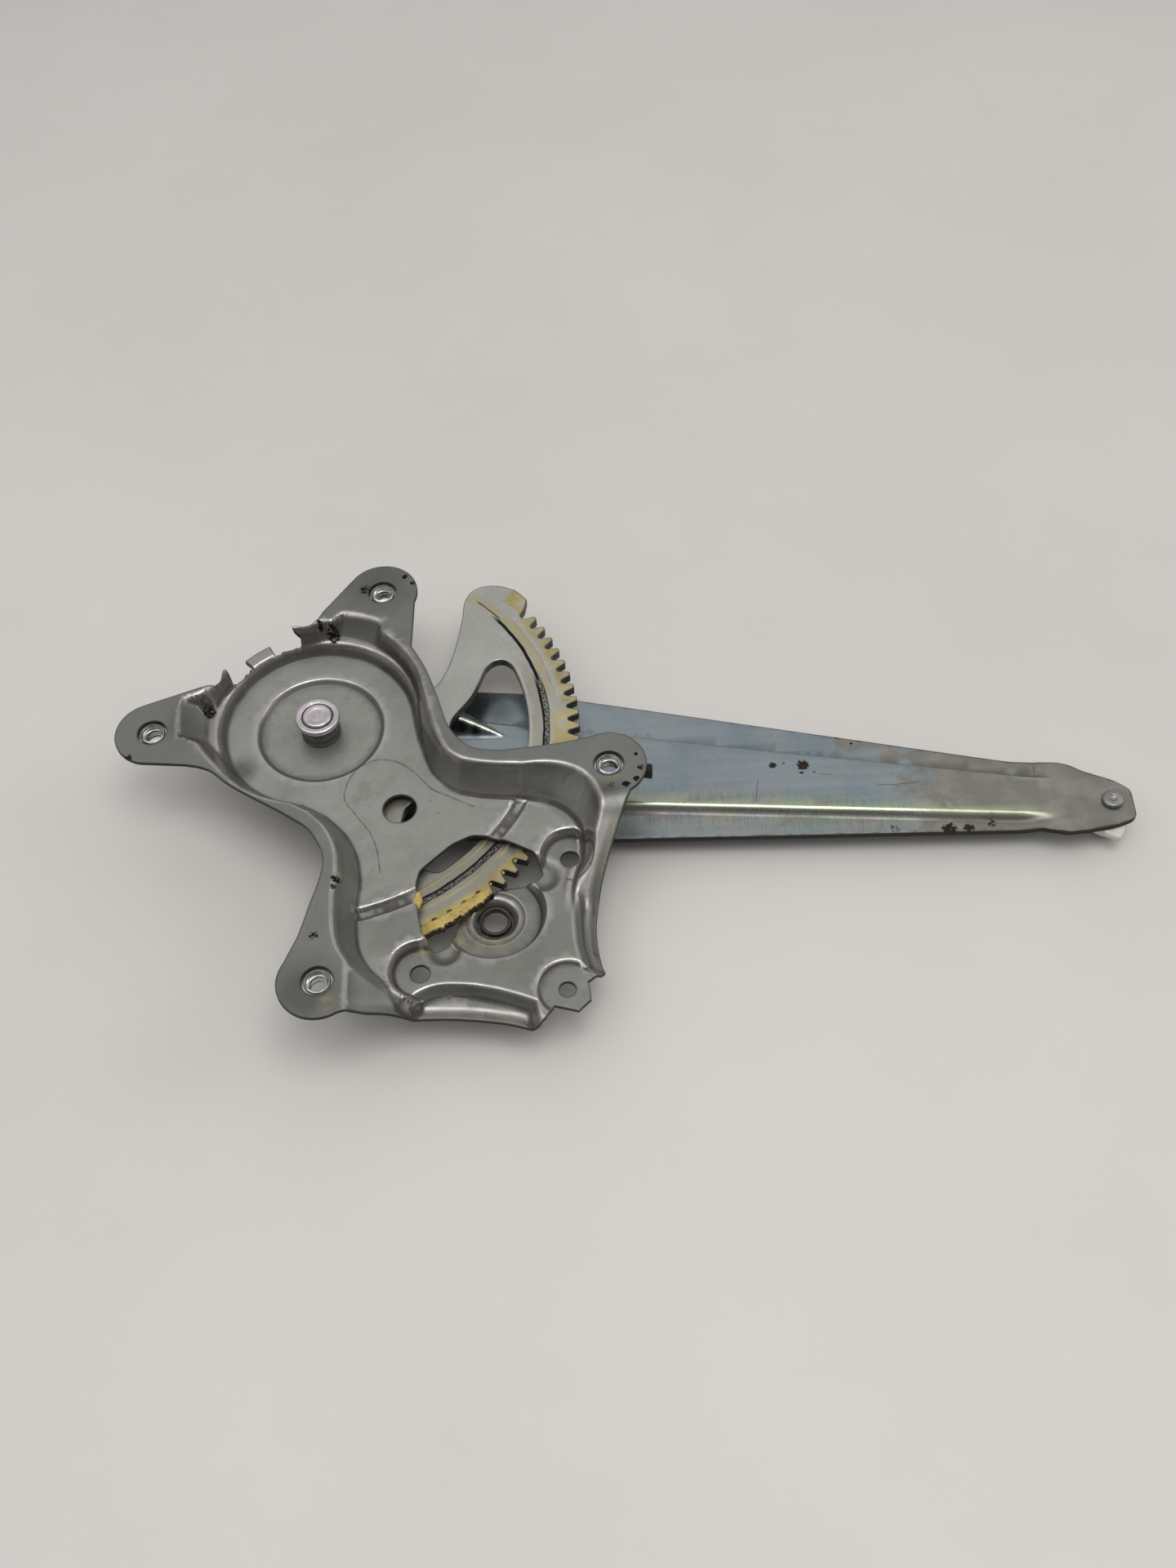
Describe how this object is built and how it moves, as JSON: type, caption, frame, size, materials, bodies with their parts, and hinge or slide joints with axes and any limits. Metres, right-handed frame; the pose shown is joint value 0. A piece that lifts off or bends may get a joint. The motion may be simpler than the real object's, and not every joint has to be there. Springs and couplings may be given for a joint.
{
  "type": "window regulator",
  "caption": "Car-door window regulator: pressed base plate with eared mounting feet, toothed sector on a pivot pin and a long ribbed lift arm with a sliding shoe.",
  "frame": {"origin": "centre of the part's box, at its lowest level, which is the guide shoe's underside", "axes": "+X along the lift arm from the pivot towards the shoe, +Y towards the ear above the dish, +Z out of the base plate's front, parallel to the pivot axis"},
  "size_m": [0.2934, 0.1556, 0.0317],
  "materials": {
    "dull_zinc": "dull grey zinc plate, grimy",
    "blue_zinc": "blue-grey passivated zinc with faint iridescence",
    "gear_steel": "pale stamped steel with old yellow grease",
    "bright_zinc": "bright zinc",
    "dark_steel": "dark oiled steel",
    "nylon": "off-white nylon",
    "rubber": "black rubber",
    "black_plastic": "black plastic"
  },
  "bodies": {
    "base": {"base_plate": "dull_zinc", "weld_nut_left": "bright_zinc", "weld_nut_top": "bright_zinc", "weld_nut_right": "bright_zinc", "weld_nut_bottom": "bright_zinc", "pivot_bush": "dark_steel", "pinion_bush": "black_plastic", "stop_bumper": "rubber"},
    "arm": {"sector_gear": "gear_steel", "lift_arm": "blue_zinc", "arm_rivet_1": "bright_zinc", "arm_rivet_2": "bright_zinc", "arm_rivet_3": "bright_zinc", "pivot_pin": "bright_zinc", "pivot_washer": "bright_zinc", "back_washer": "bright_zinc", "roller_stud": "bright_zinc"},
    "shoe": {"guide_shoe": "nylon", "shoe_washer": "bright_zinc"}
  },
  "joints": [
    {"name": "arm_swing", "type": "hinge", "parent": "base", "child": "arm", "pos_m": [-0.08893, 0.02208, 0.0219], "axis": [0, 0, 1], "range_deg": [-78, 10]},
    {"name": "shoe_swivel", "type": "hinge", "parent": "arm", "child": "shoe", "pos_m": [0.14047, -0.01162, 0.0049], "axis": [0, 0, 1], "continuous": true}
  ]
}
